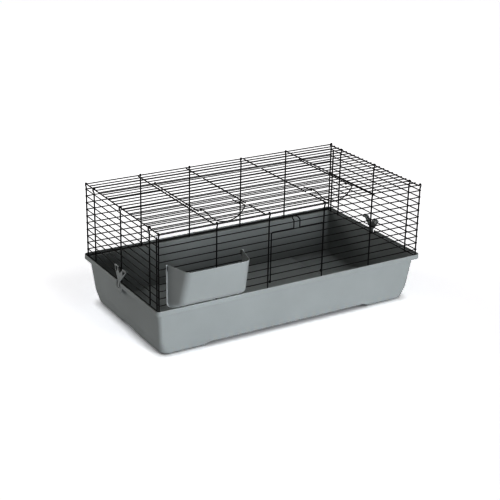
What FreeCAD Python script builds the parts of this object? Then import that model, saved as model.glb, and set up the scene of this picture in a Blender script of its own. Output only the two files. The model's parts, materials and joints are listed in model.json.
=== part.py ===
import FreeCAD, Part
import math
import os

import Sketcher

# Indoor rabbit cage: a moulded tub with a lift-off wire top, a drop-down front door,
# a lift-up roof door, spring latches, side clips and a hang-on hay rack.
# Millimetres. +X along the cage, -Y is the front, +Z up, z = 0 on the floor.
# Lengths across the cage are measured from the middle of the tub; every sub-part is
# then moved back by centre_shift, so the origin is under the middle of the whole cage.

DIMENSIONS = {
    # tub
    "tub_half_length": 510.5,
    "tub_half_width": 277.5,
    "rim_height": 173.5,
    "rim_depth": 17.0,
    "rim_corner": 12.0,
    "end_overhang": 12.0,
    "side_overhang": 16.0,
    "flange_top": 164.4,
    "wall_thickness": 2.6,
    "wall_corner": 14.0,
    "foot_corner": 30.0,
    "waist_height": 48.0,
    "end_waist_lean": 12.0,
    "end_lean": 23.0,
    "side_waist_lean": 13.5,
    "side_lean": 19.0,
    "bottom_radius": 12.0,
    "arch_height": 13.5,
    "arch_half_length": 304.0,
    "arch_half_width": 40.0,
    "arch_slope": 30.0,
    "notch_half_width": 13.0,
    "notch_centre": 163.0,
    "apron_radius": 26.0,
    # wire top
    "wire_radius": 1.3,
    "upright_radius": 1.8,
    "cross_radius": 1.6,
    "first_wire": 166.0,
    "wire_pitch": 24.0,
    "post_x": 498.0,
    "outer_upright_x": 296.0,
    "door_upright_x": 105.0,
    "front_line": 266.0,
    "side_line": 494.0,
    "side_near_y": 197.0,
    "side_middle_y": 8.5,
    "side_far_y": 211.0,
    "side_edge_y": 245.0,
    "roof_height": 425.0,
    "roof_pitch": 25.333,
    "hatch_x": 303.7,
    "middle_cross_x": 117.0,
    # front door
    "door_leg_x": 99.5,
    "door_corner": 6.0,
    "door_front_y": 272.1,
    "latch_radius": 1.4,
    "latch_foot_x": 16.3,
    "latch_shift": 4.0,
    # roof door
    "hatch_side_x": 291.0,
    "hatch_front_y": 136.0,
    "hatch_wire_height": 424.9,
    "loop_outer_x": 281.0,
    "loop_inner_x": 139.0,
    "hinge_clearance": 0.1,
    # side clips
    "clip_axis_height": 214.0,
    "clip_thickness": 3.5,
    "clip_tilt": 6.8,
    # hay rack
    "rack_back_y": 270.7,
    "rack_depth": 91.3,
    "rack_left": 470.0,
    "rack_right": 206.0,
    "rack_top": 324.0,
    "rack_bottom": 177.4,
    "rack_wall": 2.5,
    "rack_flange": 7.0,
    "rack_base_depth": 7.6,
    "rack_base_corner": 5.0,
    "rack_round": 20.0,
    "rack_lean": 17.0,
    "rack_corner": 26.0,
}

WIRE_ROWS = 11                      # level wires in each side of the wire top
DOOR_FIRST_ROW = 2                  # first and last of the rows cut by the front door
DOOR_LAST_ROW = 8
ROOF_WIRES = 22                     # wires along the roof
HATCH_FIRST = 5                     # first and last roof wire cut by the roof door
HATCH_LAST = 16
HATCH_WIRES = 12                    # wires along the roof door itself
WELD_END = 1.5                      # how far a wire runs past the one it is welded to
DOOR_END = 1.4                      # the same for the wires of the two doors
EDGE_END = 2.5                      # the same for the wires along the roof's edges
RING_GAP = 0.05                     # play between a curled end and the wire inside it

doc = FreeCAD.newDocument("rabbit_cage")
sheet = doc.addObject("Spreadsheet::Sheet", "Sizes")


class Dim:
    """A length that knows its value and the sheet expression it comes from."""

    def __init__(self, value, text):
        self.value = value
        self.text = text

    @staticmethod
    def of(number):
        if isinstance(number, Dim):
            return number
        return Dim(float(number), repr(float(number)))

    def join(self, other, sign, value):
        return Dim(value, "(" + self.text + " " + sign + " " + Dim.of(other).text + ")")

    def __add__(self, other):
        return self.join(other, "+", self.value + Dim.of(other).value)

    def __sub__(self, other):
        return self.join(other, "-", self.value - Dim.of(other).value)

    def __mul__(self, factor):
        return self.join(factor, "*", self.value * Dim.of(factor).value)

    def __neg__(self):
        return Dim(-self.value, "(0 - " + self.text + ")")


class Sizes:
    """The driving dimensions, read back from the sheet by their alias."""

    def __init__(self, table):
        for row, (name, number) in enumerate(table.items(), start=1):
            sheet.set("A%d" % row, name)
            sheet.set("B%d" % row, str(number))
            sheet.setAlias("B%d" % row, name)
        doc.recompute()
        for name in table:
            setattr(self, name, Dim(float(sheet.get(name)), "Sizes." + name))


size = Sizes(DIMENSIONS)
centre_shift = (size.rack_back_y + size.rack_depth - size.tub_half_width) * 0.5
rim_bottom = size.rim_height - size.rim_depth
wall_x = size.tub_half_length - size.end_overhang
wall_y = size.tub_half_width - size.side_overhang


def bind(thing, name, length):
    """Set a property and tie it to the sheet."""
    length = Dim.of(length)
    thing.setExpression(name, length.text)


def place(part):
    """Every sub-part sits back by the same shift, tied to the sheet."""
    bind(part, "Placement.Base.y", centre_shift)
    return part


# ---------------------------------------------------------------- sketches and bodies


def new_body(name, placed=True):
    body = doc.addObject("PartDesign::Body", name)
    body.Label = name
    body.AllowCompound = True
    return place(body) if placed else body


def new_sketch(body, plane, offset=0.0):
    """A sketch on one of the body's own planes, moved along its normal by offset."""
    sketch = body.newObject("Sketcher::SketchObject", "Sketch")
    for feature in body.Origin.OriginFeatures:
        if feature.Role == plane:
            sketch.AttachmentSupport = [(feature, "")]
    sketch.MapMode = "FlatFace"
    bind(sketch, "AttachmentOffset.Base.z", offset)
    doc.recompute()
    return sketch


def fix(sketch, kind, *ends_and_length):
    """Add a dimension and tie it to the sheet."""
    *ends, length = ends_and_length
    length = Dim.of(length)
    index = sketch.addConstraint(Sketcher.Constraint(kind, *ends, length.value))
    sketch.setExpression("Constraints[%d]" % index, length.text)


def add_circle(sketch, across, up, radius):
    across, up, radius = Dim.of(across), Dim.of(up), Dim.of(radius)
    centre = FreeCAD.Vector(across.value, up.value, 0)
    circle = sketch.addGeometry(Part.Circle(centre, FreeCAD.Vector(0, 0, 1), radius.value))
    fix(sketch, "Radius", circle, radius)
    fix(sketch, "DistanceX", -1, 1, circle, 3, across)
    fix(sketch, "DistanceY", -1, 1, circle, 3, up)


def add_outline(sketch, corners):
    """A closed outline of straight lines through corners given as pairs of lengths."""
    corners = [(Dim.of(across), Dim.of(up)) for across, up in corners]
    spots = [FreeCAD.Vector(across.value, up.value, 0) for across, up in corners]
    count = len(spots)
    first = sketch.GeometryCount
    for number in range(count):
        sketch.addGeometry(Part.LineSegment(spots[number], spots[(number + 1) % count]))
    for number in range(count):
        following = first + (number + 1) % count
        sketch.addConstraint(Sketcher.Constraint("Coincident", first + number, 2, following, 1))
    for number, (across, up) in enumerate(corners):
        fix(sketch, "DistanceX", -1, 1, first + number, 1, across)
        fix(sketch, "DistanceY", -1, 1, first + number, 1, up)


def add_rounded(sketch, half_across, half_up, corner):
    """A rectangle about the sketch's centre with round corners."""
    half_across, half_up, corner = Dim.of(half_across), Dim.of(half_up), Dim.of(corner)
    reach_x = half_across.value - corner.value
    reach_y = half_up.value - corner.value
    radius = corner.value
    arcs = []
    for number, (side_x, side_y) in enumerate([(1, 1), (-1, 1), (-1, -1), (1, -1)]):
        centre = FreeCAD.Vector(side_x * reach_x, side_y * reach_y, 0)
        circle = Part.Circle(centre, FreeCAD.Vector(0, 0, 1), radius)
        start = number * math.pi / 2
        arcs.append(sketch.addGeometry(Part.ArcOfCircle(circle, start, start + math.pi / 2)))
        fix(sketch, "Radius", arcs[-1], corner)
        fix(sketch, "DistanceX", -1, 1, arcs[-1], 3, (half_across - corner) * side_x)
        fix(sketch, "DistanceY", -1, 1, arcs[-1], 3, (half_up - corner) * side_y)
    for number, arc in enumerate(arcs):
        following = arcs[(number + 1) % len(arcs)]
        start = sketch.Geometry[arc].EndPoint
        end = sketch.Geometry[following].StartPoint
        line = sketch.addGeometry(Part.LineSegment(start, end))
        sketch.addConstraint(Sketcher.Constraint("Tangent", arc, 2, line, 1))
        sketch.addConstraint(Sketcher.Constraint("Tangent", line, 2, following, 1))


def add_tongue(sketch, half, centre, top):
    """A half disc of radius half about (0, centre), carried straight up to top."""
    half, centre, top = Dim.of(half), Dim.of(centre), Dim.of(top)
    circle = Part.Circle(FreeCAD.Vector(0, centre.value, 0), FreeCAD.Vector(0, 0, 1), half.value)
    arc = sketch.addGeometry(Part.ArcOfCircle(circle, math.pi, 2 * math.pi))
    spots = [FreeCAD.Vector(side * half.value, height, 0) for side, height in
             [(1, centre.value), (1, top.value), (-1, top.value), (-1, centre.value)]]
    lines = [sketch.addGeometry(Part.LineSegment(spots[n], spots[n + 1])) for n in range(3)]
    right, lid, left = lines
    sketch.addConstraint(Sketcher.Constraint("Tangent", arc, 2, right, 1))
    sketch.addConstraint(Sketcher.Constraint("Coincident", right, 2, lid, 1))
    sketch.addConstraint(Sketcher.Constraint("Coincident", lid, 2, left, 1))
    sketch.addConstraint(Sketcher.Constraint("Tangent", left, 2, arc, 1))
    sketch.addConstraint(Sketcher.Constraint("Vertical", right))
    sketch.addConstraint(Sketcher.Constraint("Horizontal", lid))
    fix(sketch, "Radius", arc, half)
    fix(sketch, "DistanceX", -1, 1, arc, 3, 0)
    fix(sketch, "DistanceY", -1, 1, arc, 3, centre)
    fix(sketch, "DistanceY", -1, 1, lid, 1, top)


def pad(body, sketch, length, both_ways=False, reverse=False):
    feature = body.newObject("PartDesign::Pad", "Pad")
    feature.Profile = sketch
    bind(feature, "Length", length)
    feature.Midplane = both_ways
    feature.Reversed = reverse
    doc.recompute()
    return feature


def must_shrink(body, before):
    """Stop if the last cut took nothing away."""
    if body.Shape.Volume > before - 1:
        raise RuntimeError("a cut removed nothing from " + body.Label)


def pocket(body, sketch, length, both_ways=False, reverse=False):
    before = body.Shape.Volume
    feature = body.newObject("PartDesign::Pocket", "Pocket")
    feature.Profile = sketch
    bind(feature, "Length", length)
    feature.Midplane = both_ways
    feature.Reversed = reverse
    doc.recompute()
    must_shrink(body, before)
    return feature


def loft(body, sketches, kind="PartDesign::AdditiveLoft"):
    """Straight-sided loft through sketches; a subtractive one has to remove something."""
    before = body.Shape.Volume if kind == "PartDesign::SubtractiveLoft" else None
    feature = body.newObject(kind, "Loft")
    feature.Profile = sketches[0]
    feature.Sections = sketches[1:]
    feature.Ruled = True
    doc.recompute()
    if before is not None:
        must_shrink(body, before)
    return feature


def mirror(body, features, plane):
    """Repeat features on the far side of one of the body's planes."""
    feature = body.newObject("PartDesign::Mirrored", "Mirrored")
    feature.Originals = features
    for origin_plane in body.Origin.OriginFeatures:
        if origin_plane.Role == plane:
            feature.MirrorPlane = (origin_plane, [""])
    body.Tip = feature
    doc.recompute()
    return feature


def round_edges(body, radius, chosen):
    """Fillet the edges of the last feature that chosen(edge) picks."""
    base = body.Tip
    names = ["Edge%d" % (n + 1) for n, edge in enumerate(base.Shape.Edges) if chosen(edge)]
    feature = body.newObject("PartDesign::Fillet", "Fillet")
    feature.Base = (base, names)
    bind(feature, "Radius", radius)
    doc.recompute()
    return feature


# ---------------------------------------------------------------- bent wire


class Bender:
    """Bends one wire as a wire bender does: straight runs and arcs, end to end."""

    def __init__(self, start, heading):
        self.spot = FreeCAD.Vector(start)
        self.heading = FreeCAD.Vector(heading).normalize()
        self.edges = []

    def ahead(self, length):
        end = self.spot + self.heading * length
        self.edges.append(Part.makeLine(self.spot, end))
        self.spot = end
        return self

    def turn(self, radius, degrees, axis):
        """Bend about axis by degrees, right-handed."""
        axis = FreeCAD.Vector(axis).normalize()
        centre = self.spot + axis.cross(self.heading) * radius
        arm = self.spot - centre
        half = FreeCAD.Rotation(axis, degrees / 2)
        full = FreeCAD.Rotation(axis, degrees)
        end = centre + full.multVec(arm)
        self.edges.append(Part.Arc(self.spot, centre + half.multVec(arm), end).toShape())
        self.spot = end
        self.heading = full.multVec(self.heading)
        return self

    def towards(self, radius, heading):
        """Bend the short way until the wire points along heading."""
        heading = FreeCAD.Vector(heading).normalize()
        axis = self.heading.cross(heading)
        return self.turn(radius, math.degrees(self.heading.getAngle(heading)), axis)

    def rod(self, radius):
        """The solid wire, with its volume compared with section times length."""
        path = Part.Wire(self.edges)
        first = self.edges[0]
        start = first.valueAt(first.FirstParameter)
        tangent = first.tangentAt(first.FirstParameter)
        profile = Part.Wire(Part.Circle(start, tangent, radius).toShape())
        solid = path.makePipeShell([profile], True, False)
        expected = math.pi * radius ** 2 * path.Length
        if abs(solid.Volume / expected - 1) > 0.002:
            raise RuntimeError("a bent wire came out with the wrong volume")
        return solid


def from_ring(centre, radius, sweep, axis, leave):
    """A wire that begins with a ring turning about axis, then leaves along leave."""
    leave = FreeCAD.Vector(leave).normalize()
    back = FreeCAD.Rotation(axis, -sweep)
    start = FreeCAD.Vector(centre) + back.multVec(leave.cross(axis) * radius)
    return Bender(start, back.multVec(leave)).turn(radius, sweep, axis)


def wire_part(name, solids):
    """A sub-part made of one or more bent wires."""
    part = doc.addObject("Part::Feature", name)
    part.Label = name
    part.Shape = Part.makeCompound(solids) if len(solids) > 1 else solids[0]
    return place(part)


RIGHT = FreeCAD.Vector(1, 0, 0)
BACK = FreeCAD.Vector(0, 1, 0)
UP = FreeCAD.Vector(0, 0, 1)


# ---------------------------------------------------------------- tub


def wall_sections(body, thickness, bottom):
    """The tub's wall at three heights, drawn inward by thickness.

    The ends lean more below the waist, and the corners grow rounder there.
    """
    levels = [(size.flange_top, Dim.of(0), Dim.of(0), size.wall_corner),
              (size.waist_height, size.end_waist_lean, size.side_waist_lean, size.wall_corner),
              (bottom, size.end_lean, size.side_lean, size.foot_corner)]
    sketches = []
    for height, end_inset, side_inset, corner in levels:
        sketch = new_sketch(body, "XY_Plane", height)
        add_rounded(sketch, wall_x - end_inset - thickness, wall_y - side_inset - thickness,
                    corner - thickness)
        sketches.append(sketch)
    return sketches


def cut_arches(body, lift):
    """Raise the underside between the four corner feet, along the tub and across it."""
    slope = size.arch_slope
    top = size.arch_height + lift
    for plane, reach, run in [("XZ_Plane", size.arch_half_length, size.tub_half_width),
                              ("YZ_Plane", size.arch_half_width, size.tub_half_length)]:
        gap = new_sketch(body, plane)
        add_outline(gap, [(-(reach + slope), lift - 1), (reach + slope, lift - 1),
                          (reach, top), (-reach, top)])
        pocket(body, gap, run * 2, both_ways=True)


def round_bottom(body, radius, height):
    """Fillet every edge of the flat bottom that lies at height."""
    round_edges(body, radius, lambda edge: abs(edge.BoundBox.ZMax - height) < 0.01
                and edge.BoundBox.ZLength < 0.01)


def add_rim(body, wall):
    """A flat flange round the wall with a lip standing up and turned down at its edge."""
    rim = new_sketch(body, "XY_Plane", rim_bottom)
    add_rounded(rim, size.tub_half_length, size.tub_half_width, size.rim_corner)
    add_rounded(rim, wall_x - wall, wall_y - wall, size.wall_corner - wall)
    pad(body, rim, size.rim_depth)
    lip_x = size.tub_half_length - wall
    lip_y = size.tub_half_width - wall
    channel = new_sketch(body, "XY_Plane", size.rim_height)
    add_rounded(channel, lip_x, lip_y, size.rim_corner - wall)
    pocket(body, channel, size.rim_height - size.flange_top)
    under = new_sketch(body, "XY_Plane", rim_bottom)
    add_rounded(under, lip_x, lip_y, size.rim_corner - wall)
    add_rounded(under, wall_x, wall_y, size.wall_corner)
    pocket(body, under, size.flange_top - wall - rim_bottom, reverse=True)


def add_clip_pockets(body, wall):
    """Round aprons under the lip at both ends, each with a notch for a clip's stem."""
    apron = new_sketch(body, "YZ_Plane", size.tub_half_length - wall)
    add_tongue(apron, size.apron_radius, rim_bottom, rim_bottom + 1)
    plate = pad(body, apron, wall)
    notch = new_sketch(body, "YZ_Plane", wall_x + 0.3)
    add_tongue(notch, size.notch_half_width, size.notch_centre, size.rim_height + 1)
    slot = pocket(body, notch, size.end_overhang + 1, reverse=True)
    mirror(body, [plate, slot], "YZ_Plane")


def build_tub():
    """One moulding: leaning walls with a waist, corner feet, a flange and a lip."""
    wall = size.wall_thickness
    nothing = Dim.of(0)
    shell = new_body("tub_outside", placed=False)
    loft(shell, wall_sections(shell, nothing, nothing))
    round_bottom(shell, size.bottom_radius, 0)
    cut_arches(shell, nothing)
    add_rim(shell, wall)
    add_clip_pockets(shell, wall)

    core = new_body("tub_inside", placed=False)
    loft(core, wall_sections(core, wall, wall))
    round_bottom(core, size.bottom_radius - wall, wall.value)
    cut_arches(core, wall)

    tub = doc.addObject("Part::Cut", "tub_shell")
    tub.Base = shell
    tub.Tool = core
    place(tub)


# ---------------------------------------------------------------- wire panels


def row_height(row):
    return size.first_wire + size.wire_pitch * row


def level_wires(name, plane, line, reach, rows):
    """A body with one straight wire per row, centred on the plane that it crosses."""
    body = new_body(name)
    sketch = new_sketch(body, plane)
    for row in rows:
        add_circle(sketch, line, row_height(row), size.wire_radius)
    pad(body, sketch, reach * 2, both_ways=True)
    return body


def build_front_wires():
    line = -(size.front_line + size.upright_radius + size.wire_radius)
    door_rows = range(DOOR_FIRST_ROW, DOOR_LAST_ROW + 1)
    full_rows = [row for row in range(WIRE_ROWS) if row not in door_rows]
    reach = size.post_x + WELD_END
    body = level_wires("front_level_wires", "YZ_Plane", line, reach, full_rows)
    gap_edge = size.door_upright_x - WELD_END
    sketch = new_sketch(body, "YZ_Plane", gap_edge)
    for row in door_rows:
        add_circle(sketch, line, row_height(row), size.wire_radius)
    short = pad(body, sketch, reach - gap_edge)
    mirror(body, [short], "YZ_Plane")


def build_back_and_side_wires():
    offset = size.upright_radius + size.wire_radius
    level_wires("back_level_wires", "YZ_Plane", size.front_line + offset,
                size.post_x + WELD_END, range(WIRE_ROWS))
    post_gap = size.upright_radius + 0.3
    for name, side in [("left_level_wires", -1), ("right_level_wires", 1)]:
        level_wires(name, "XZ_Plane", (size.side_line + offset) * side,
                    size.front_line - post_gap, range(WIRE_ROWS))


def hooked_upright(foot, outward, wire_height, ring):
    """An upright that steps outward at its top and curls over the roof's edge wire."""
    step_angle = 25.0
    step_bend = 8.0
    sine = math.sin(math.radians(step_angle))
    cosine = math.cos(math.radians(step_angle))
    step_run = (ring - 2 * step_bend * (1 - cosine)) / sine
    step_height = 2 * step_bend * sine + step_run * cosine
    last_run = 3.5
    out = UP.cross(outward)
    wire = Bender(foot, UP)
    wire.ahead(wire_height - last_run - step_height - foot.z)
    wire.turn(step_bend, step_angle, out).ahead(step_run).turn(step_bend, step_angle, -out)
    wire.ahead(last_run).turn(ring, 200, -out)
    return wire.rod(size.upright_radius.value)


def build_uprights():
    """Uprights inside each panel; the right panel is the left one turned half round."""
    foot_height = size.first_wire.value - size.wire_radius.value
    positions = [size.door_upright_x.value, size.outer_upright_x.value, size.post_x.value]
    ring = size.wire_radius.value + size.upright_radius.value + RING_GAP
    for name, side in [("front_uprights", -1), ("back_uprights", 1)]:
        solids = []
        for across in positions:
            for hand in (-1, 1):
                foot = FreeCAD.Vector(hand * across, side * size.front_line.value, foot_height)
                solids.append(hooked_upright(foot, BACK * side, size.roof_height.value, ring))
        wire_part(name, solids)

    ring = size.cross_radius.value + size.upright_radius.value + RING_GAP
    cross_height = size.roof_height.value - size.wire_radius.value - size.cross_radius.value
    edge_top = row_height(WIRE_ROWS - 1).value + size.wire_radius.value
    for name, side in [("left_uprights", -1), ("right_uprights", 1)]:
        solids = []
        line = side * size.side_line.value
        for along in (-size.side_near_y.value, size.side_middle_y.value, size.side_far_y.value):
            foot = FreeCAD.Vector(line, -side * along, foot_height)
            solids.append(hooked_upright(foot, RIGHT * side, cross_height, ring))
        foot = FreeCAD.Vector(line, side * size.side_edge_y.value, foot_height)
        straight = Bender(foot, UP).ahead(edge_top - foot_height)
        solids.append(straight.rod(size.upright_radius.value))
        wire_part(name, solids)


def roof_wire_y(number):
    return size.roof_pitch * number - size.front_line


def build_roof():
    """Wires along the roof, cut short beside the hatch, over wires across it."""
    edges = new_body("roof_edge_wires")
    sketch = new_sketch(edges, "YZ_Plane")
    for number in (0, ROOF_WIRES - 1):
        add_circle(sketch, roof_wire_y(number), size.roof_height, size.wire_radius)
    pad(edges, sketch, (size.post_x + EDGE_END) * 2, both_ways=True)

    body = new_body("roof_length_wires")
    reach = size.side_line + WELD_END * 2
    hatch = range(HATCH_FIRST, HATCH_LAST + 1)
    sketch = new_sketch(body, "YZ_Plane")
    for number in range(1, ROOF_WIRES - 1):
        if number not in hatch:
            add_circle(sketch, roof_wire_y(number), size.roof_height, size.wire_radius)
    pad(body, sketch, reach * 2, both_ways=True)
    hatch_edge = size.hatch_x - WELD_END
    sketch = new_sketch(body, "YZ_Plane", hatch_edge)
    for number in hatch:
        add_circle(sketch, roof_wire_y(number), size.roof_height, size.wire_radius)
    short = pad(body, sketch, reach - hatch_edge)
    mirror(body, [short], "YZ_Plane")

    cross_height = size.roof_height - size.wire_radius - size.cross_radius
    body = new_body("roof_cross_wires")
    sketch = new_sketch(body, "XZ_Plane")
    for across in (size.side_line, size.hatch_x):
        add_circle(sketch, across, cross_height, size.cross_radius)
        add_circle(sketch, -across, cross_height, size.cross_radius)
    pad(body, sketch, (size.front_line + 1) * 2, both_ways=True)
    front_edge = size.front_line - size.roof_pitch * (HATCH_FIRST - 1) - WELD_END
    sketch = new_sketch(body, "XZ_Plane", front_edge)
    add_circle(sketch, size.middle_cross_x, cross_height, size.cross_radius)
    add_circle(sketch, -size.middle_cross_x, cross_height, size.cross_radius)
    short = pad(body, sketch, size.front_line + 1 - front_edge)
    mirror(body, [short], "XZ_Plane")


# ---------------------------------------------------------------- front door


def build_front_door():
    """Two bent legs with hinge rings on the second panel wire, and level wires between."""
    wire = size.wire_radius.value
    rod = size.cross_radius.value
    ring = wire + rod + size.hinge_clearance.value
    hinge_y = -(size.front_line.value + size.upright_radius.value + wire)
    hinge_height = row_height(1).value
    top = row_height(DOOR_LAST_ROW).value + wire + rod
    solids = []
    for hand in (-1, 1):
        centre = FreeCAD.Vector(hand * size.door_leg_x.value, hinge_y, hinge_height)
        leg = from_ring(centre, ring, 250, -RIGHT, UP)
        leg.ahead(top - size.door_corner.value - hinge_height)
        leg.towards(size.door_corner.value, RIGHT * -hand)
        latch_side = size.latch_foot_x.value - hand * size.latch_shift.value
        leg.ahead(size.door_leg_x.value - size.door_corner.value - latch_side)
        solids.append(leg.rod(rod))
    wire_part("front_door_frame", solids)

    body = new_body("front_door_wires")
    sketch = new_sketch(body, "YZ_Plane")
    line = -(size.door_front_y - size.cross_radius - size.wire_radius)
    for row in range(DOOR_FIRST_ROW, DOOR_LAST_ROW + 1):
        add_circle(sketch, line, row_height(row), size.wire_radius)
    pad(body, sketch, (size.door_leg_x + DOOR_END) * 2, both_ways=True)


def build_front_latch():
    """A spring loop in line with the door's top wire, leaning in over the wire above."""
    top = row_height(DOOR_LAST_ROW).value + size.wire_radius.value + size.cross_radius.value
    gap = 0.4
    foot_bend = 3.0
    foot_run = 1.5
    lean = FreeCAD.Vector(0, 18.1, 9.0).normalize()
    lean_start = 24.0
    lean_run = 5.8
    foot_x = size.latch_foot_x.value - gap
    leg_x = foot_x - foot_run - foot_bend
    start_x = -foot_x - size.latch_shift.value
    loop = Bender((start_x, -size.door_front_y.value, top), RIGHT)
    loop.ahead(foot_run).towards(foot_bend, UP).ahead(lean_start - foot_bend)
    loop.towards(4.0, lean).ahead(lean_run)
    loop.turn(leg_x, 180, lean.cross(RIGHT))
    loop.ahead(lean_run).towards(4.0, -UP).ahead(lean_start - foot_bend)
    loop.towards(foot_bend, RIGHT).ahead(foot_run)
    wire_part("front_door_latch", [loop.rod(size.latch_radius.value)])


# ---------------------------------------------------------------- roof door


def build_roof_door():
    """The hatch: wires along it over side and middle wires, hinged on a roof wire."""
    body = new_body("roof_door_length_wires")
    sketch = new_sketch(body, "YZ_Plane")
    for number in range(HATCH_WIRES):
        along = size.roof_pitch * number - size.hatch_front_y
        add_circle(sketch, along, size.hatch_wire_height, size.wire_radius)
    pad(body, sketch, (size.hatch_side_x + WELD_END) * 2, both_ways=True)

    body = new_body("roof_door_middle_wires")
    cross_height = size.hatch_wire_height - size.wire_radius - size.cross_radius
    back_end = size.roof_pitch * (HATCH_WIRES - 1) - size.hatch_front_y + DOOR_END
    sketch = new_sketch(body, "XZ_Plane", -back_end)
    add_circle(sketch, size.middle_cross_x, cross_height, size.cross_radius)
    add_circle(sketch, -size.middle_cross_x, cross_height, size.cross_radius)
    pad(body, sketch, size.hatch_front_y + DOOR_END + back_end)

    body = new_body("roof_door_stiffeners")
    tail = size.roof_pitch * 1.75
    ring_room = 5
    sketch = new_sketch(body, "XZ_Plane", size.hatch_front_y - tail)
    height = size.hatch_wire_height - size.wire_radius - size.latch_radius
    add_circle(sketch, size.loop_inner_x, height, size.latch_radius)
    add_circle(sketch, -size.loop_inner_x, height, size.latch_radius)
    pad(body, sketch, tail - ring_room)

    rod = size.cross_radius.value
    ring = size.wire_radius.value + rod + size.hinge_clearance.value
    hinge_y = roof_wire_y(HATCH_LAST + 1).value
    side_height = size.hatch_wire_height.value - size.wire_radius.value - rod
    for name, hand in [("roof_door_left_wire", -1), ("roof_door_right_wire", 1)]:
        centre = FreeCAD.Vector(hand * size.hatch_side_x.value, hinge_y, side_height + ring)
        side = from_ring(centre, ring, 255, -RIGHT, -BACK)
        side.ahead(hinge_y + size.hatch_front_y.value + DOOR_END)
        wire_part(name, [side.rod(rod)])


def build_roof_latches():
    """Spring loops ringed on the hatch's front wire, over the roof wire and down in front."""
    rod = size.latch_radius.value
    ring = size.wire_radius.value + rod + size.hinge_clearance.value
    outer = size.loop_outer_x.value
    inner = size.loop_inner_x.value
    corner = 4.0
    run = 33.0
    bow_angle = 57.0
    rise = FreeCAD.Vector(0, -1, math.tan(math.radians(1.5))).normalize()
    tilt = math.radians(12)
    down = FreeCAD.Vector(0, -math.sin(tilt), -math.cos(tilt))
    for name, hand in [("roof_door_left_latch", -1), ("roof_door_right_latch", 1)]:
        centre = (hand * outer, -size.hatch_front_y.value, size.hatch_wire_height.value)
        sideways = -hand * math.cos(math.radians(bow_angle))
        dive = RIGHT * sideways + down * math.sin(math.radians(bow_angle))
        climb = RIGHT * sideways - down * math.sin(math.radians(bow_angle))
        corner_reach = corner * math.tan(rise.getAngle(dive) / 2) * abs(sideways)
        bow = ((outer - inner) / 2 - corner_reach) / math.sin(math.radians(bow_angle))
        loop = from_ring(centre, ring, 255, RIGHT, rise)
        loop.ahead(run).towards(corner, dive)
        loop.turn(bow, 2 * bow_angle, dive.cross(climb))
        loop.towards(corner, -rise).ahead(run).turn(ring, 255, -RIGHT)
        wire_part(name, [loop.rod(rod)])


# ---------------------------------------------------------------- side clips


def build_clip(name, hand):
    """A forked clip: two ears ringed on a side wire and a stem down to the tub's lip.

    Drawn about its hinge axis, hanging straight down on the side of -X.
    """
    body = new_body(name)
    bore = size.wire_radius + size.hinge_clearance
    ring = bore + 2.6
    face = bore + 2.0
    inner = 14.0
    outer = 42.0
    half = [(7.0, -59.0), (7.0, -41.0), (24.0, -22.5), (outer, -1.0), (outer, 6.5),
            (inner + 1.5, 6.5), (inner, 0.0)]
    other_half = [(-along, height) for along, height in reversed(half)]
    plate = new_sketch(body, "YZ_Plane", -face)
    add_outline(plate, half + [(0.0, -13.0)] + other_half)
    pad(body, plate, size.clip_thickness, reverse=True)
    round_edges(body, 6.0, lambda edge: edge.BoundBox.ZMax < -58 and edge.BoundBox.YLength < 0.1)
    ears = new_sketch(body, "XZ_Plane", inner + 1.5)
    add_circle(ears, 0, 0, ring)
    barrel = pad(body, ears, outer - inner - 1.5)
    mirror(body, [barrel], "XZ_Plane")
    windows = new_sketch(body, "YZ_Plane")
    for side in (-1, 1):
        add_outline(windows, [(21.0 * side, -14.0), (33.5 * side, -4.5), (33.5 * side, 1.0),
                              (19.5 * side, 1.0), (19.5 * side, -11.0)])
    pocket(body, windows, (face + size.clip_thickness + 1) * 2, both_ways=True)
    hole = new_sketch(body, "XZ_Plane")
    add_circle(hole, 0, 0, bore)
    pocket(body, hole, outer * 2 + 2, both_ways=True)
    mouth = new_sketch(body, "XZ_Plane")
    add_outline(mouth, [(0.3, -1.0), (5.0, -4.5), (5.0, 0.2), (1.0, 0.2)])
    pocket(body, mouth, outer * 2 + 2, both_ways=True)

    axis_x = size.side_line + size.upright_radius + size.wire_radius
    tilt = FreeCAD.Rotation(BACK, size.clip_tilt.value * -hand)
    facing = FreeCAD.Rotation(UP, 0 if hand < 0 else 180)
    body.Placement = FreeCAD.Placement(FreeCAD.Vector(0, 0, 0), tilt.multiply(facing))
    bind(body, "Placement.Base.x", axis_x * hand)
    bind(body, "Placement.Base.y", centre_shift)
    bind(body, "Placement.Base.z", size.clip_axis_height)


# ---------------------------------------------------------------- hay rack


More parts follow.
